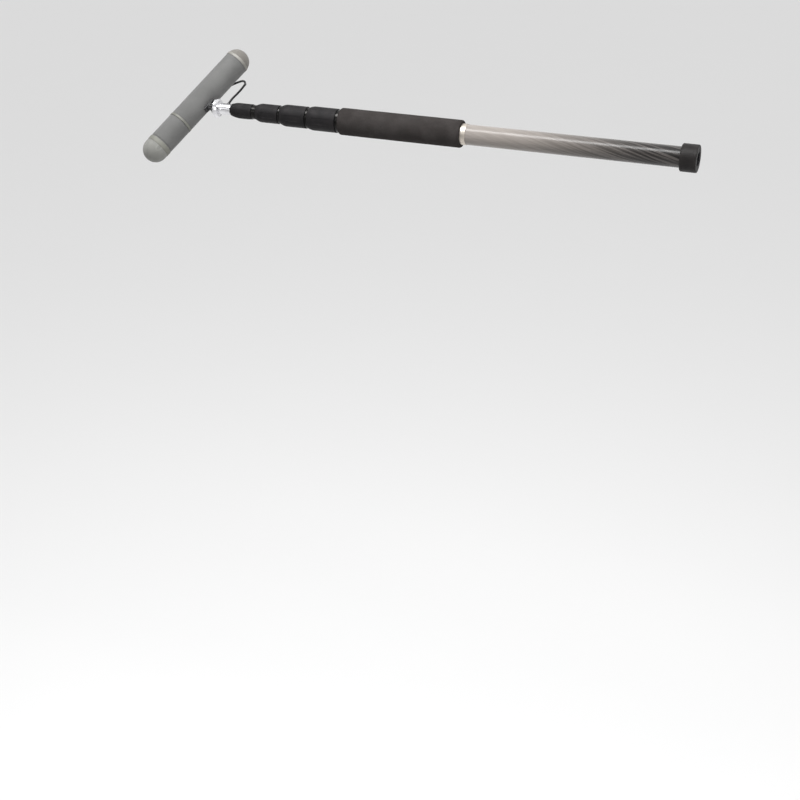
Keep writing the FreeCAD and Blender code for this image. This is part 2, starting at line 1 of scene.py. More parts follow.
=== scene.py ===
# %% [markdown]
# # A telescoping boom pole
#
# A boom pole carries a microphone out over a scene at the end of five nested carbon tubes. The
# tubes are held by twist locks under rubber collars. A foam grip covers the front hand's place, a
# rubber cap closes the butt end, and a small swivel at the tip tilts the windshield, a slim basket
# in grey mesh cloth with the microphone inside.
#
# The hard parts arrive finished and in place as one fixed frame in metres, with the pole along X,
# the butt at +X and +Z up. This lesson adds what cannot be turned or milled: foam, moulded rubber,
# cloth, a soft lead, and a finish for every surface. Nothing is moved to fit. A soft piece is made
# where the frame says that its hard stand-in is, and then takes its place.

# %% Load the frame
import bmesh
import bpy
import json
import math
from mathutils import Matrix, Vector


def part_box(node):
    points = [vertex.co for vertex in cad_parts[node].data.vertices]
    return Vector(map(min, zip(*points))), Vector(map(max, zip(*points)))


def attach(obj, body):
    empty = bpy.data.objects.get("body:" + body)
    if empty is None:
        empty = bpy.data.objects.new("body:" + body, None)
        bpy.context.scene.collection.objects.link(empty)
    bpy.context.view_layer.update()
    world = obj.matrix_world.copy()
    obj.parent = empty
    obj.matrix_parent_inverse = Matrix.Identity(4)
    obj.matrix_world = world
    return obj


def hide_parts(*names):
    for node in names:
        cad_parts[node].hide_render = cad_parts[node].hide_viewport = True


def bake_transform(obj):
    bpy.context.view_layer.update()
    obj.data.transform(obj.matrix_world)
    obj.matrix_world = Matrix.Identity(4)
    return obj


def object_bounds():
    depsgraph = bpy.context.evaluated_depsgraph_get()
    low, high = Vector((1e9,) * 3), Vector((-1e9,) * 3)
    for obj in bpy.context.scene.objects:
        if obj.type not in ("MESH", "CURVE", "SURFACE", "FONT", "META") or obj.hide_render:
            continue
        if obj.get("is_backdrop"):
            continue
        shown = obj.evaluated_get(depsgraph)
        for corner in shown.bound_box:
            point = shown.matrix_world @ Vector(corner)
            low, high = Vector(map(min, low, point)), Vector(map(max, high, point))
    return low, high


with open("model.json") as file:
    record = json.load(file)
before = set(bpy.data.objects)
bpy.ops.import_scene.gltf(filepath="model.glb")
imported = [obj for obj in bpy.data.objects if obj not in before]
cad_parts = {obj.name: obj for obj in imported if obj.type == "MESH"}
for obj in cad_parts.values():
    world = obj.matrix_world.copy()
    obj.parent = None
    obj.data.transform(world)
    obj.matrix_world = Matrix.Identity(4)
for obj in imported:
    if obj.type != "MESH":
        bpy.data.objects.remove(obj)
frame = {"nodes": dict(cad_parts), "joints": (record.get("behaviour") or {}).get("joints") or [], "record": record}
cad_low, cad_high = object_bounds()
print("frame:", len(frame["nodes"]), "nodes,", [round(side, 3) for side in cad_high - cad_low], "m")

# %% [markdown]
# ## The camera
#
# The pole is seen from its front side, a little from the butt end and from above, so that the
# windshield leans away to the left. A camera can be turned by angles or by a tracking constraint.
# Here its three axes are written out, because an azimuth and a fall are what one would measure
# when standing beside the pole, and a level horizon follows by itself.

# %% Camera
def camera_at(place, azimuth, fall, lens):
    """A level camera at place that looks along an azimuth and down by fall, both in degrees."""
    a, p = math.radians(azimuth), math.radians(fall)
    back = Vector((math.sin(a) * math.cos(p), -math.cos(a) * math.cos(p), math.sin(p)))
    right = Vector((math.cos(a), math.sin(a), 0))
    turn = Matrix((right, back.cross(right), back)).transposed()
    camera = bpy.data.objects.new("camera", bpy.data.cameras.new("camera"))
    camera.data.lens = lens
    camera.matrix_world = Matrix.Translation(place) @ turn.to_4x4()
    bpy.context.scene.collection.objects.link(camera)
    bpy.context.scene.camera = camera
    return camera


camera = camera_at((0.54071, -2.04626, 0.59038), 21.821, 26.010, 63)
print("camera:", [round(value, 3) for value in camera.location], "lens", camera.data.lens, "mm")

# %% [markdown]
# ## Places on the pole
#
# A station is a distance from the butt end, as a maker would mark it on the tube. The windshield
# has its own axes: it runs along the line that its front pod pulls off by, and it tilts about the
# hinge. Both directions are joints of the frame, so they are read from there instead of being
# typed again, and the middle of the split band gives a point on the windshield's axis.

# %% Stations and the windshield's axes
joints = {joint["name"]: joint for joint in frame["joints"]}
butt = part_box("base_cap")[1].x
hinge = Vector(joints["windshield_tilt"]["axis"]).normalized()
behind = hinge.cross(Vector((1, 0, 0)))
forward = Vector(joints["pod_pull"]["axis"]).normalized()
band_low, band_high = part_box("split_band")
shield_middle = (band_low + band_high) / 2 - forward * 0.039
on_pole = Matrix.Translation((butt, 0, 0)) @ Matrix.Rotation(math.pi, 4, "Z")
on_shield = Matrix((forward, hinge.cross(forward), hinge)).transposed().to_4x4()
on_shield.translation = shield_middle
print("windshield middle:", [round(value, 4) for value in shield_middle])


def beside_pole(station, back, up):
    """A point at a station, so far behind the pole's axis and so far up along the hinge."""
    return Vector((butt - station, 0, 0)) + behind * back + hinge * up


# %% [markdown]
# ## The microphone's lead
#
# A thin limp lead leaves the tip fitting by a small black bush, rises behind the stem, turns over
# towards the windshield, hangs down behind it with some slack for the tilt, and goes up into it
# through a gland on the hidden side. It could be swept from a mesh circle, but a NURBS spline is
# what a limp lead looks like: it passes near its control points and never kinks. The points are in
# metres: how far from the butt, how far behind the pole's axis, and how far up along the hinge.
# The tube is a mesh, and its path is read from the same spline without its bevel.

# %% The lead's spline
lead_route = [(0.7905, 0.0118, 0), (0.7885, 0.021, 0), (0.7835, 0.0318, -0.0007), (0.7798, 0.0435, -0.0024),
              (0.7807, 0.0595, -0.0092), (0.7864, 0.0662, -0.0194), (0.7961, 0.0796, -0.0263),
              (0.8197, 0.085, -0.0434), (0.83254, 0.06797, -0.03743), (0.82733, 0.06572, -0.01997)]
lead_radius = 0.0018


def spline_through(name, points):
    """A NURBS curve that passes near its points and starts and ends on the first and the last."""
    curve = bpy.data.curves.new(name, "CURVE")
    curve.dimensions = "3D"
    curve.resolution_u = 16
    spline = curve.splines.new("NURBS")
    spline.points.add(len(points) - 1)
    for knot, point in zip(spline.points, points):
        knot.co = (*point, 1)
    spline.order_u = 3
    spline.use_endpoint_u = True
    return bpy.data.objects.new(name, curve)


lead_line = spline_through("lead_line", [beside_pole(*point) for point in lead_route])
lead_path = [vertex.co.copy() for vertex in bpy.data.meshes.new_from_object(lead_line).vertices]
lead_length = sum((b - a).length for a, b in zip(lead_path, lead_path[1:]))
print("lead:", len(lead_path), "points,", round(lead_length * 1000, 1), "mm")

# %% The lead's tube
lead_line.data.bevel_depth = lead_radius
lead_line.data.bevel_resolution = 5
lead_line.data.use_fill_caps = True
lead = bpy.data.objects.new("lead", bpy.data.meshes.new_from_object(lead_line))
bpy.context.scene.collection.objects.link(lead)
lead.data.shade_smooth()
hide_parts("mic_lead")
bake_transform(lead)
print("lead tube:", len(lead.data.polygons), "faces")

# %% [markdown]
# ## Floor and light
#
# The pole is held at working height, so the floor is far below it and takes only a faint shadow.
# A round dark object needs most of its light from one side, or it looks flat. So a long soft lamp
# hangs close over the pole and draws a clean line along the tube, a second one from the butt end
# lights the windshield's far side without lighting the pole from below, and a weak one fills in
# from the front. Colours are shown as they are, without a film curve, as in a plain product shot.

# %% Floor
floor_level, floor_reach = -1.6, 30
floor_mesh = bmesh.new()
bmesh.ops.create_grid(floor_mesh, x_segments=8, y_segments=8, size=floor_reach,
                      matrix=Matrix.Translation((0, 0, floor_level)))
floor = bpy.data.objects.new("floor", bpy.data.meshes.new("floor"))
floor_mesh.to_mesh(floor.data)
floor_mesh.free()
bpy.context.scene.collection.objects.link(floor)
floor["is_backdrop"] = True
print("floor at", round(floor.data.vertices[0].co.z, 2), "m")


# %% Lamps
def soft_lamp(name, place, aim, width, height, power):
    """A rectangular lamp at place that faces aim."""
    lamp = bpy.data.objects.new(name, bpy.data.lights.new(name, "AREA"))
    lamp.data.shape = "RECTANGLE"
    lamp.data.size, lamp.data.size_y = width, height
    lamp.data.energy = power
    lamp.location = place
    lamp.rotation_euler = (Vector(aim) - Vector(place)).to_track_quat("-Z", "Y").to_euler()
    lamp.visible_camera = False
    bpy.context.scene.collection.objects.link(lamp)
    return lamp


lamps = [soft_lamp("top_lamp", (-0.35, -0.45, 1.15), (-0.25, 0, 0), 1.8, 0.5, 34),
         soft_lamp("butt_lamp", (1.5, -0.9, 0.1), (-0.65, 0, 0), 0.8, 0.8, 8),
         soft_lamp("front_lamp", (-1.2, -1.9, 0.8), (-0.5, 0, 0), 1.0, 1.0, 4)]
bpy.context.scene.view_settings.view_transform = "Standard"
print("lamps:", [lamp.name for lamp in lamps])

# %% [markdown]
# ## Shader sums
#
# A finish is a small calculation: where am I on the surface, and what colour and height does the
# surface have there. Node graphs that are wired by hand grow hard to read, so one class wraps a
# node's output and lets it be added, multiplied and compared as a number would be. One method
# makes every other node: its settings come first, then the values or links of its sockets.

# %% One wire
class Wire:
    """A node's output that can be used in sums like a number."""

    def __init__(self, finish, socket):
        self.finish, self.socket = finish, socket

    def math(self, operation, *values):
        return self.finish.node("Math", {"operation": operation}, dict(enumerate(values)))

    def __add__(self, other):
        return self.math("ADD", self, other)

    def __sub__(self, other):
        return self.math("SUBTRACT", self, other)

    def __rsub__(self, other):
        return self.math("SUBTRACT", other, self)

    def __mul__(self, other):
        return self.math("MULTIPLY", self, other)

    def __pow__(self, other):
        return self.math("POWER", self, other)

    __radd__, __rmul__ = __add__, __mul__

    def sine(self):
        return self.math("SINE", self)

    def cosine(self):
        return self.math("COSINE", self)

    def between(self, low, high):
        """0 below low, 1 above high, and a soft step between them."""
        return self.finish.node("MapRange", {"interpolation_type": "SMOOTHSTEP"},
                                {"Value": self, "From Min": low, "From Max": high})


# %% One finish
class Finish:
    """A material with its main shader, and the one way of adding any other node."""

    def __init__(self, name, **fixed):
        self.material = bpy.data.materials.new(name)
        self.material.use_nodes = True
        self.tree = self.material.node_tree
        self.shader = self.tree.nodes["Principled BSDF"]
        self.paint(**fixed)

    def paint(self, **sockets):
        """Sets or links the shader's own sockets. An underscore stands for a space."""
        for name, value in sockets.items():
            self.join(self.shader.inputs[name.replace("_", " ")], value)

    def join(self, socket, value):
        if isinstance(value, Wire):
            self.tree.links.new(value.socket, socket)
        else:
            socket.default_value = value

    def node(self, kind, settings=None, inputs=None, out=0):
        """Makes a node of a kind, with its settings first and then its sockets."""
        made = self.tree.nodes.new("ShaderNode" + kind)
        for name, value in (settings or {}).items():
            setattr(made, name, value)
        for name, value in (inputs or {}).items():
            self.join(made.inputs[name], value)
        return Wire(self, made.outputs[out])

    def place(self):
        return self.node("TexCoord", out="Object")

    def along(self, axis, origin=(0, 0, 0)):
        """How far a point lies from origin along an axis."""
        reach = self.node("VectorMath", {"operation": "DOT_PRODUCT"}, {0: self.place(), 1: axis}, "Value")
        return reach - Vector(axis).dot(Vector(origin))

    def vector(self, x, y, z):
        return self.node("CombineXYZ", inputs={0: x, 1: y, 2: z})

    def noise(self, scale, detail=2.0, at=None, rough=0.5):
        return self.node("TexNoise", inputs={"Vector": at or self.place(), "Scale": scale,
                                             "Detail": detail, "Roughness": rough})

    def cells(self, scale, at=None):
        return self.node("TexVoronoi", inputs={"Vector": at or self.place(), "Scale": scale})

    def blend(self, mask, low, high):
        """A colour between low and high, by a mask from 0 to 1."""
        return self.node("Mix", {"data_type": "RGBA"}, {0: mask, 6: low, 7: high}, 2)

    def relief(self, height, depth, strength=1.0):
        """Raises or sinks the surface by up to depth metres without moving it."""
        self.paint(Normal=self.node("Bump", inputs={"Height": height, "Distance": depth,
                                                    "Strength": strength}))


def tone(red, green, blue):
    """A screen colour from 0 to 255 as the linear colour that a shader wants."""
    parts = [value / 255 for value in (red, green, blue)]
    return (*[part / 12.92 if part <= 0.04045 else ((part + 0.055) / 1.055) ** 2.4 for part in parts], 1)


print("mid grey is", round(tone(128, 128, 128)[0], 3), "in linear light")

# %% [markdown]
# ## Carbon tube
#
# The tubes are wound from carbon tow under a thick clear coat. The tow shows as dark and silvery
# strands that run round the tube in a steep helix, each a few millimetres wide, with fine fibres in
# them. A pattern drawn flat would show a seam, so the noise is read on a ring: the angle round the
# tube, less a twist that grows along it, is turned into a point on a circle. Over this, the colour
# is painted paler near the grip as painted light, where the strands hardly show, and darker towards
# the butt as painted shade, where they stand out.

# %% Finish: carbon
def twisted(finish, ways, tight, stretch):
    """Noise in strands that run round the pole's axis, so many radians per metre."""
    x, y, z = (finish.along(axis) for axis in ((1, 0, 0), (0, 1, 0), (0, 0, 1)))
    turn = finish.node("Math", {"operation": "ARCTAN2"}, {0: z, 1: y}) - x * ways
    ring = finish.vector(turn.cosine() * tight, turn.sine() * tight, x * stretch)
    return finish.noise(1.0, 2.0, at=ring)


def carbon(name, painted_light_end, painted_shade_start):
    """Carbon tow under a clear coat, painted pale as light at low X and dark as shade at high X, between its two
    end stations, with the strands showing more in the painted shade.
    """
    made = Finish(name, Specular_IOR_Level=0.2, Coat_Weight=0.6, Coat_Roughness=0.15, Coat_IOR=1.35)
    along = made.along((1, 0, 0))
    # A ramp along the tube from painted light near the grip to painted shade towards the butt.
    painted_light_fade = along.between(painted_light_end, painted_shade_start)
    strands = twisted(made, 17.5, 5.2, 9).between(0.40, 0.62)
    fibres = twisted(made, 17.5, 26, 60)
    # Both tow and gap run from painted light near the grip to painted shade towards the butt.
    tow = made.blend(painted_light_fade, tone(132, 126, 121), tone(76, 72, 70))
    gap = made.blend(painted_light_fade, tone(124, 118, 113), tone(18, 16, 15))
    silver = made.blend(fibres.between(0.3, 0.7) * 0.35, made.blend(strands, gap, tow), gap)
    made.paint(Base_Color=silver, Roughness=0.42 - fibres * 0.16 + (1 - strands) * 0.08)
    made.relief(strands * 0.7 + fibres * 0.3, 0.00006, 0.5)
    return made


carbon_base = carbon("carbon_base", -0.15, 0.15)
carbon_inner = carbon("carbon_inner", -0.9, -0.3)
print("carbon:", len(carbon_base.tree.nodes), "nodes")

# %% [markdown]
# ## Foam, rubber and other soft skins
#
# The grip is closed-cell foam: matte, charcoal, with thousands of tiny burst cells and slightly
# paler where hands have rubbed it. The collars and the cap are moulded rubber with a fine spark
# texture from the mould. Both could be sculpted, but the cells are half a millimetre across, so
# they belong in the finish: a cell pattern gives the pores and a slow noise gives the wear.

# %% Finish: foam
foam = Finish("grip_foam", Specular_IOR_Level=0.08)
pores = foam.cells(1500)
rubbed = foam.noise(38, 4).between(0.35, 0.7)
pits_and_painted_shade = pores.between(0.05, 0.5)
skin_tone = foam.blend(rubbed, tone(47, 44, 43), tone(55, 52, 51))
# The burst cells are painted near black: painted shade in the pits, which the relief also sinks.
foam.paint(Base_Color=foam.blend(pits_and_painted_shade, tone(24, 22, 22), skin_tone), Roughness=0.97 - rubbed * 0.1)
foam.relief(pits_and_painted_shade + foam.noise(420, 3) * 0.7, 0.00035, 0.6)
print("foam:", len(foam.tree.nodes), "nodes")


# %% Finish: moulded rubber
def rubber(name, low, high, roughness, coarse):
    """Moulded rubber between two colours, with a spark texture of so many grains per metre."""
    made = Finish(name, Specular_IOR_Level=0.15)
    handled = made.noise(60, 4).between(0.3, 0.75)
    grains = made.noise(coarse, 2)
    made.paint(Base_Color=made.blend(handled, low, high),
               Roughness=roughness - handled * 0.08 + grains * 0.06)
    made.relief(grains, 0.00012, 0.5)
    return made


collar_rubber = rubber("collar_rubber", tone(21, 20, 21), tone(30, 28, 29), 0.6, 2600)
cap_rubber = rubber("cap_rubber", tone(25, 23, 23), tone(36, 34, 33), 0.5, 3200)
clip_rubber = rubber("clip_rubber", tone(24, 24, 25), tone(36, 36, 37), 0.7, 2000)
jacket = rubber("cable_jacket", tone(14, 14, 15), tone(24, 24, 26), 0.45, 5200)
print("rubbers:", collar_rubber.material.name, cap_rubber.material.name, jacket.material.name)

# %% [markdown]
# ## Metals
#
# The tip fitting and its flange are polished on a lathe, and the tool leaves rings that are finer
# than a hair. They catch light as soft bright lines. A ring pattern can come from an image, but
# here it is noise that is read only along the axis and the radius, so that it is the same all the
# way round. The locks' ferrules have the same rings under black anodising, and the small parts are
# powder coated or plain steel.

# %% Finish: turned metal
def turned_metal(name, low, high, roughness, rings=2400, depth=0.00001):
    """Metal from a lathe whose axis is the pole's: fine rings, and a few rubbed patches."""
    made = Finish(name, Metallic=1.0)
    y, z = made.along((0, 1, 0)), made.along((0, 0, 1))
    radius = (y * y + z * z) ** 0.5
    marks = made.noise(rings, 3, at=made.vector(made.along((1, 0, 0)), radius, 0))
    rubbed = made.noise(90, 3).between(0.35, 0.7)
    made.paint(Base_Color=made.blend(rubbed * 0.5 + marks * 0.5, low, high),
               Roughness=roughness + marks * 0.14 - rubbed * 0.05)
    made.relief(marks, depth, 0.6)
    return made


polished = turned_metal("bright_alloy", tone(205, 205, 208), tone(238, 238, 240), 0.13)
pale_alloy = turned_metal("pale_alloy", tone(186, 178, 168), tone(212, 205, 196), 0.34)
plain_alloy = turned_metal("plain_alloy", tone(160, 160, 163), tone(188, 188, 190), 0.3)
gloss_dark = turned_metal("gloss_dark_alloy", tone(28, 28, 28), tone(50, 49, 48), 0.2)
dark_alloy = turned_metal("dark_alloy", tone(36, 36, 38), tone(54, 54, 57), 0.34)
contact_metal = turned_metal("contact_metal", tone(196, 158, 84), tone(222, 186, 112), 0.22)
print("turned:", polished.material.name, gloss_dark.material.name, dark_alloy.material.name)


# %% Finish: small metal parts
def small_metal(name, low, high, metallic, roughness, grain, depth):
    """Steel or coated metal with an even grain, and bright specks where the grain stands highest."""
    made = Finish(name, Metallic=metallic)
    peel = made.noise(grain, 3)
    specks = made.noise(700, 4).between(0.55, 0.72)
    made.paint(Base_Color=made.blend(specks * 0.6 + peel * 0.3, low, high),
               Roughness=roughness + peel * 0.12 - specks * 0.06)
    made.relief(peel, depth, 0.5)
    return made


steel = small_metal("steel", tone(150, 150, 153), tone(196, 196, 198), 1.0, 0.26, 3000, 0.00001)
black_metal = small_metal("black_metal", tone(20, 20, 21), tone(38, 38, 40), 0.2, 0.42, 1500, 0.00005)
plug_metal = small_metal("plug_metal", tone(22, 22, 24), tone(42, 42, 45), 0.9, 0.32, 2200, 0.00003)
mic_finish = small_metal("mic_finish", tone(30, 30, 32), tone(50, 50, 53), 0.85, 0.4, 2600, 0.00002)
print("small metal:", steel.material.name, black_metal.material.name)


# %% Finish: moulded plastic
def plastic(name, low, high, roughness, coarse=1800, depth=0.00005):
    """Moulded plastic with a fine leather-like mould texture and a little uneven gloss."""
    made = Finish(name, Specular_IOR_Level=0.45)
    cloud = made.noise(45, 3).between(0.3, 0.7)
    texture = made.noise(coarse, 2)
    made.paint(Base_Color=made.blend(cloud, low, high), Roughness=roughness + cloud * 0.08)
    made.relief(texture, depth, 0.5)
    return made


black_plastic = plastic("black_plastic", tone(24, 24, 26), tone(36, 36, 38), 0.48)
nylon = plastic("nylon", tone(208, 204, 190), tone(224, 221, 209), 0.42)
shield_band = plastic("shield_band", tone(93, 93, 87), tone(105, 105, 98), 0.5)
# The back band is the band plastic painted paler: painted light along the back ring.
back_band_painted_light = plastic("back_band_painted_light", tone(114, 112, 107), tone(126, 124, 119), 0.45)
print("plastics:", black_plastic.material.name, nylon.material.name, shield_band.material.name)

# %% [markdown]
# ## Windshield cloth
#
# The basket's skin is a fine grey mesh of crossing threads that lets sound through and stops wind.
# On the straight parts the threads run along the windshield and round it, so the weave is two sine
# waves, one along the axis and one round it, with a whole number of threads so that they meet. The
# domes are pressed from the same mesh, which stretches there, and on them the threads are read
# straight across the axis instead, as a cloth pulled over a ball lies.

# %% Finish: mesh cloth
shield_radius = 0.021
thread_pitch = 0.0011
threads_round = round(2 * math.pi * shield_radius / thread_pitch)
across = hinge.cross(forward)


def mesh_cloth(name, domed, low, high):
    """Grey acoustic mesh. Its threads cross the axis on a dome and go round it elsewhere."""
    made = Finish(name, Sheen_Weight=0.12, Sheen_Roughness=0.5)
    along = made.along(forward, shield_middle)
    y, z = made.along(across, shield_middle), made.along(hinge, shield_middle)
    pace = 2 * math.pi / thread_pitch
    if domed:
        warp, weft = (y * pace).sine(), (z * pace).sine()
    else:
        angle = made.node("Math", {"operation": "ARCTAN2"}, {0: z, 1: y})
        warp, weft = (angle * threads_round).sine(), (along * pace).sine()
    weave = warp * weft * 0.5 + 0.5
    soiled = made.noise(30, 4).between(0.3, 0.75)
    cloth = made.blend(soiled, low, high)
    # Between the threads the cloth is painted near black: painted shade in the hollows of the weave.
    dark = made.blend(0.42, cloth, tone(20, 20, 20))
    made.paint(Base_Color=made.blend(weave.between(0.08, 0.55), dark, cloth),
               Roughness=0.86 - weave * 0.12)
    made.relief(weave + made.noise(900, 2) * 0.3, 0.00012, 0.5)
    return made


shield_mesh = mesh_cloth("shield_mesh", False, tone(87, 87, 86), tone(95, 95, 94))
# The front dome's cloth is the basket's mesh painted lighter: painted light on the near dome.
front_mesh_painted_light = mesh_cloth("front_mesh_painted_light", True, tone(116, 116, 112), tone(127, 127, 123))
# The back dome's cloth is the basket's mesh painted browner and a little lighter: painted light and shade on the
# far dome.
back_mesh_painted_light = mesh_cloth("back_mesh_painted_light", True, tone(99, 96, 91), tone(109, 106, 101))
print("mesh:", threads_round, "threads round the basket")

# %% [markdown]
# ## Dressing the frame
#
# The imported record says which finish each hard part has by the name of its slot. The parts keep
# their own meshes. Only the material in each slot is changed, and the inner tubes take the carbon
# whose painted light lies out of sight, so they show mostly its painted shade.

# %% Dress the hard parts
finishes = {"carbon": carbon_inner, "grip_foam": foam, "pale_alloy": pale_alloy,
            "gloss_dark_alloy": gloss_dark,
            "bright_alloy": polished, "cap_rubber": cap_rubber, "plain_alloy": plain_alloy, "steel": steel,
            "dark_alloy": dark_alloy, "nylon": nylon, "black_plastic": black_plastic,
            "contact_metal": contact_metal, "cable_jacket": jacket, "collar_rubber": collar_rubber,
            "black_metal": black_metal, "shield_mesh": shield_mesh, "shield_band": shield_band,
            "mic_finish": mic_finish, "plug_metal": plug_metal, "clip_rubber": clip_rubber}
slot_of = {part["node"]: part["material_slot"] for part in frame["record"]["subparts"]}


def dress(thing, finish):
    """Gives every material slot of a part or a piece one finish."""
    if not thing.material_slots:
        thing.data.materials.append(finish.material)
    for place in thing.material_slots:
        place.material = finish.material


for name, node in frame["nodes"].items():
    dress(node, finishes[slot_of[name]])
dress(frame["nodes"]["base_tube"], carbon_base)
dress(lead, jacket)
print("dressed:", len(frame["nodes"]), "hard parts")

# %% [markdown]
# ## Turning soft pieces
#
# Foam sleeves, rubber collars and cloth skins are round, so they start as a turner's outline: a
# few corners, each at a station and a radius, with the rounding that it should have. The corners
# are rounded while they are still a wire, which keeps every curve even, and the wire is then spun
# about the axis. A full spin merges its last step with its first, so no seam is left.

# %% Spin an outline
def spin_outline(corners, steps=96, closed=True, segments=5):
    """A bmesh turned about X from (station, radius, rounding) corners."""
    shape = bmesh.new()
    points = [shape.verts.new((station, radius, 0)) for station, radius, rounding in corners]
    pairs = list(zip(points, points[1:] + points[:1]))
    for one, other in pairs if closed else pairs[:-1]:
        shape.edges.new((one, other))
    for point, (station, radius, rounding) in zip(points, corners):
        if rounding:
            bmesh.ops.bevel(shape, geom=[point], offset=rounding, offset_type="OFFSET",
                            affect="VERTICES", segments=segments, profile=0.5, material=-1)
    bmesh.ops.spin(shape, geom=shape.verts[:] + shape.edges[:], cent=(0, 0, 0), axis=(1, 0, 0),
                   dvec=(0, 0, 0), angle=2 * math.pi, steps=steps, use_merge=True)
    bmesh.ops.remove_doubles(shape, verts=shape.verts, dist=1e-6)
    bmesh.ops.recalc_face_normals(shape, faces=shape.faces)
    return shape


def make_piece(name, shape, place, body, slot_name, finish, *stands_for):
    """Turns a bmesh into a piece in its place, which rides on a body and stands for CAD nodes."""
    bmesh.ops.transform(shape, matrix=place, verts=shape.verts)
    mesh = bpy.data.meshes.new(name)
    shape.to_mesh(mesh)
    shape.free()
    mesh.shade_smooth()
    mesh.set_sharp_from_angle(angle=math.radians(38))
    piece = bpy.data.objects.new(name, mesh)
    bpy.context.scene.collection.objects.link(piece)
    dress(piece, finish)
    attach(piece, body)
    if stands_for:
        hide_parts(*stands_for)
    print(name + ":", len(mesh.polygons), "faces")
    return piece


def station_span(node):
    """The stations of a node's two ends, and its radius, from its box."""
    low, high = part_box(node)
    return butt - high.x, butt - low.x, (high.z - low.z) / 2


# %% [markdown]
# ## The foam grip
#
# The sleeve is cut from foam tube and pulled on over the carbon, so its ends are not sharp: they
# round over where the blade left them and where hands push. It is a plain spin with soft ends, cut
# into short bands so that a slow displacement can make it very slightly uneven, as foam is.

# %% Foam sleeve
start, end, radius = station_span("foam_grip")
bore, soft_edge = 0.01605, 0.003
sleeve = spin_outline([(start, bore, 0), (end, bore, 0),
                       (end, radius, soft_edge), (start, radius, soft_edge)])
long_edges = [edge for edge in sleeve.edges if edge.calc_length() > 0.1]
bmesh.ops.subdivide_edges(sleeve, edges=long_edges, cuts=60, use_grid_fill=True)
bmesh.ops.recalc_face_normals(sleeve, faces=sleeve.faces)
grip = make_piece("foam_sleeve", sleeve, on_pole, "base_section", "grip_foam", foam, "foam_grip")
uneven = bpy.data.textures.new("foam_uneven", "CLOUDS")
uneven.noise_scale = 0.02
soft = grip.modifiers.new("uneven", "DISPLACE")
soft.texture, soft.texture_coords, soft.strength, soft.mid_level = uneven, "LOCAL", 0.0003, 0.7
print("foam sleeve:", round((end - start) * 1000, 1), "mm long")

# %% [markdown]
# ## The collars
#
# Each twist lock wears a rubber collar that gives the fingers something to turn: six shallow
# panels sunk into a thick sleeve, with a rounded nose towards the tip. The panels could be cut
# with a boolean, which leaves ragged edges. Here the sleeve's own faces are inset and pushed in,
# and one level of subdivision softens every edge as a mould does.

# %% Rubber collars
panel_half_turn = math.radians(18)
noses = {1: (0.006, 0.0172), 2: (0.0065, 0.0149), 3: (0.007, 0.0121), 4: (0.0095, 0.0099)}


def collar(number):
    """The rubber sleeve of one lock, with six sunk panels."""
    start, end, radius = station_span(f"collar_{number}")
    nut = station_span(f"lock_nut_{number}")[2]
    nose, nose_radius = noses[number]
    shoulder = end - nose
    first, last = start + 0.0055, shoulder - 0.003
    shape = spin_outline([(start, nut, 0), (shoulder, nut, 0), (end, nose_radius - 0.0007, 0),
                          (end, nose_radius, 0.0005), (shoulder, radius, 0.0035), (last, radius, 0),
                          (first, radius, 0), (start, radius, 0.0007)], 72, segments=3)
    for panel in range(6):
        middle = math.radians(60 * panel + 2.5)
        facing = Vector((0, math.cos(middle), math.sin(middle)))
        faces = [face for face in shape.faces
                 if first < face.calc_center_median().x < last
                 and face.normal.dot(facing) > math.cos(panel_half_turn)]
        bmesh.ops.inset_region(shape, faces=faces, thickness=0.0006, depth=0, use_even_offset=True)
        bmesh.ops.inset_region(shape, faces=faces, thickness=0.0005, depth=-0.0006, use_even_offset=True)
    return shape


for number in (1, 2, 3, 4):
    piece = make_piece(f"rubber_collar_{number}", collar(number), on_pole, f"lock_{number}",
                       "collar_rubber", collar_rubber, f"collar_{number}")
    smooth = piece.modifiers.new("smooth", "SUBSURF")
    smooth.levels = smooth.render_levels = 1

# %% [markdown]
# ## The windshield's skin
#
# The basket is a grid tube with mesh cloth drawn tightly over it, tucked under a moulded band near
# each end and under the split band where the front pod pulls off. The cloth dips a little as it
# goes under a band. Each skin is an open outline, spun and given its wall afterwards, so that the
# inside can be seen when the pod is off. The round ends start as one point that is spun into a
# quarter circle before the wire is spun about the axis.

# %% Mesh skins
wall = 0.0012
tucked = 0.0206


def skin(name, corners, body, finish, node):
    """An open cloth tube with a wall, from (station, radius, rounding) corners."""
    shape = spin_outline(corners, 128, closed=False)
    bmesh.ops.solidify(shape, geom=shape.faces[:], thickness=wall)
    return make_piece(name, shape, on_shield, body, "shield_mesh", finish, node)


def dome(name, rim, middle, side, body, finish, node):
    """A domed cloth end: a quarter circle about middle, with a short straight part to rim."""
    shape = bmesh.new()
    tip = shape.verts.new((middle + side * shield_radius, 0, 0))
    bmesh.ops.spin(shape, geom=[tip], cent=(middle, 0, 0), axis=(0, 0, 1), dvec=(0, 0, 0),
                   angle=side * math.pi / 2, steps=20)
    edge = max(shape.verts, key=lambda vertex: vertex.co.y)
    last = bmesh.ops.extrude_vert_indiv(shape, verts=[edge])["verts"][0]
    last.co.x = rim
    bmesh.ops.spin(shape, geom=shape.verts[:] + shape.edges[:], cent=(0, 0, 0), axis=(1, 0, 0),
                   dvec=(0, 0, 0), angle=2 * math.pi, steps=128, use_merge=True)
    bmesh.ops.remove_doubles(shape, verts=shape.verts, dist=1e-6)
    bmesh.ops.recalc_face_normals(shape, faces=shape.faces)
    bmesh.ops.solidify(shape, geom=shape.faces[:], thickness=wall)
    return make_piece(name, shape, on_shield, body, "shield_mesh", finish, node)


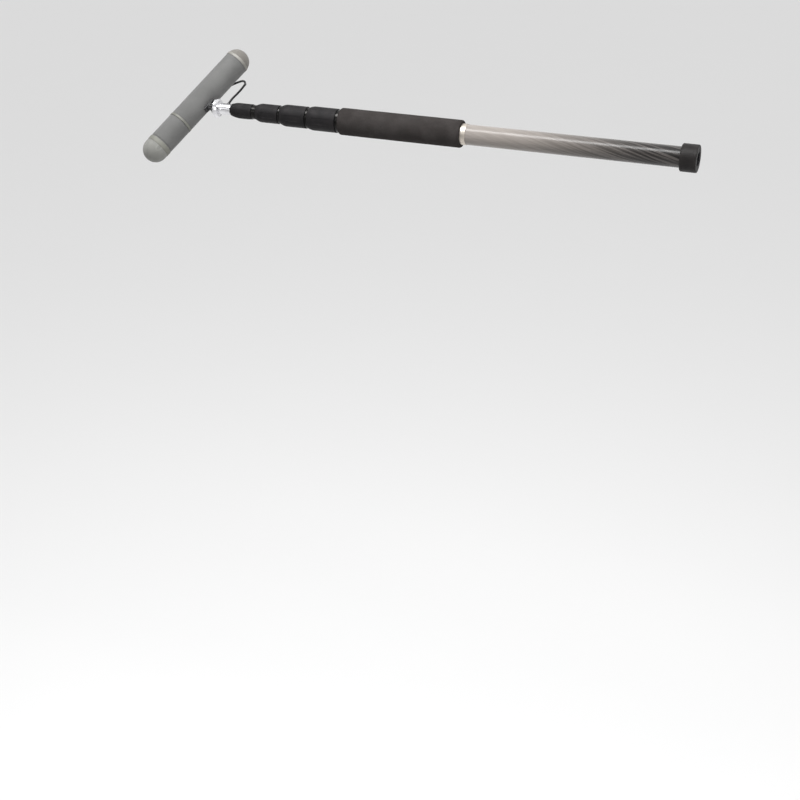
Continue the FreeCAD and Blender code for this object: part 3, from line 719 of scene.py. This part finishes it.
basket_outline = [(-0.1085, tucked, 0), (-0.1045, tucked, 0.001), (-0.1025, shield_radius, 0.001),
                  (0.0355, shield_radius, 0.001), (0.037, tucked, 0.0005), (0.041, tucked, 0)]
pod_outline = [(0.0413, tucked, 0), (0.0425, shield_radius, 0.0005), (0.0865, shield_radius, 0.0008),
               (0.0880, 0.0203, 0.0005), (0.0975, tucked, 0)]
skin("basket_skin", basket_outline, "windshield", shield_mesh, "basket")
skin("pod_skin", pod_outline, "windshield_pod", shield_mesh, "front_pod")
dome("back_dome_skin", -0.1055, -0.1055, -1, "windshield", back_mesh_painted_light, "back_dome")
dome("front_dome_skin", 0.0970, 0.103, 1, "windshield_pod", front_mesh_painted_light, "front_dome")


# %% Moulded bands
def band(name, middle, width, body, finish, node):
    """A moulded ring with rounded lips, which clamps the cloth."""
    back, front = middle - width / 2, middle + width / 2
    inner, outer, lip = 0.0205, 0.02145, 0.0003
    shape = spin_outline([(back, inner, 0), (front, inner, 0), (front, outer, lip), (back, outer, lip)], 128)
    return make_piece(name, shape, on_shield, body, "shield_band", finish, node)


band("back_ring", -0.106, 0.0045, "windshield", back_band_painted_light, "back_band")
band("split_ring", 0.039, 0.004, "windshield", shield_band, "split_band")
band("front_ring", 0.0933, 0.008, "windshield_pod", shield_band, "front_band")

# %% [markdown]
# ## Light all round
#
# The dome of light is set last. It runs from a bright overhead to a quieter grey near the horizon,
# so metal and clear coat have something to show, and it is dimmer on the front side, as it is in a
# room behind the lamps. That keeps the lower half of the round tubes dark.

# %% World
world = bpy.data.worlds.new("studio")
bpy.context.scene.world = world
world.use_nodes = True
sky = world.node_tree
height = sky.nodes.new("ShaderNodeSeparateXYZ")
where = sky.nodes.new("ShaderNodeTexCoord")
shades = sky.nodes.new("ShaderNodeValToRGB")
shades.color_ramp.elements[0].position = 0.0
shades.color_ramp.elements[0].color = (0.8, 0.8, 0.8, 1)
shades.color_ramp.elements[1].position = 0.6
shades.color_ramp.elements[1].color = (1, 1, 1, 1)
sky.links.new(where.outputs["Generated"], height.inputs[0])
sky.links.new(height.outputs["Z"], shades.inputs[0])
sky.links.new(shades.outputs[0], sky.nodes["Background"].inputs["Color"])
front = sky.nodes.new("ShaderNodeMapRange")
for name, value in {"From Min": -0.9, "From Max": 0.3, "To Min": 0.3, "To Max": 1.1}.items():
    front.inputs[name].default_value = value
sky.links.new(height.outputs["Y"], front.inputs["Value"])
sky.links.new(front.outputs[0], sky.nodes["Background"].inputs["Strength"])
floor_finish = Finish("floor", Roughness=0.9)
floor_low, floor_high = (0.84, 0.84, 0.84, 1), (0.86, 0.86, 0.86, 1)
floor_finish.paint(Base_Color=floor_finish.blend(floor_finish.noise(3, 2) * 0.3, floor_low, floor_high))
dress(floor, floor_finish)
print("world and floor are set")

# %% [markdown]
# ## Last sizes
#
# The boxes before and after the looks are compared, and how far they differ is printed in millimetres.

# %% Sizes and finish
now_low, now_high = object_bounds()
changes = [now - was for now, was in zip((*now_low, *now_high), (*cad_low, *cad_high))]
print("boxes differ by", [round(change * 1000, 2) for change in changes], "mm")
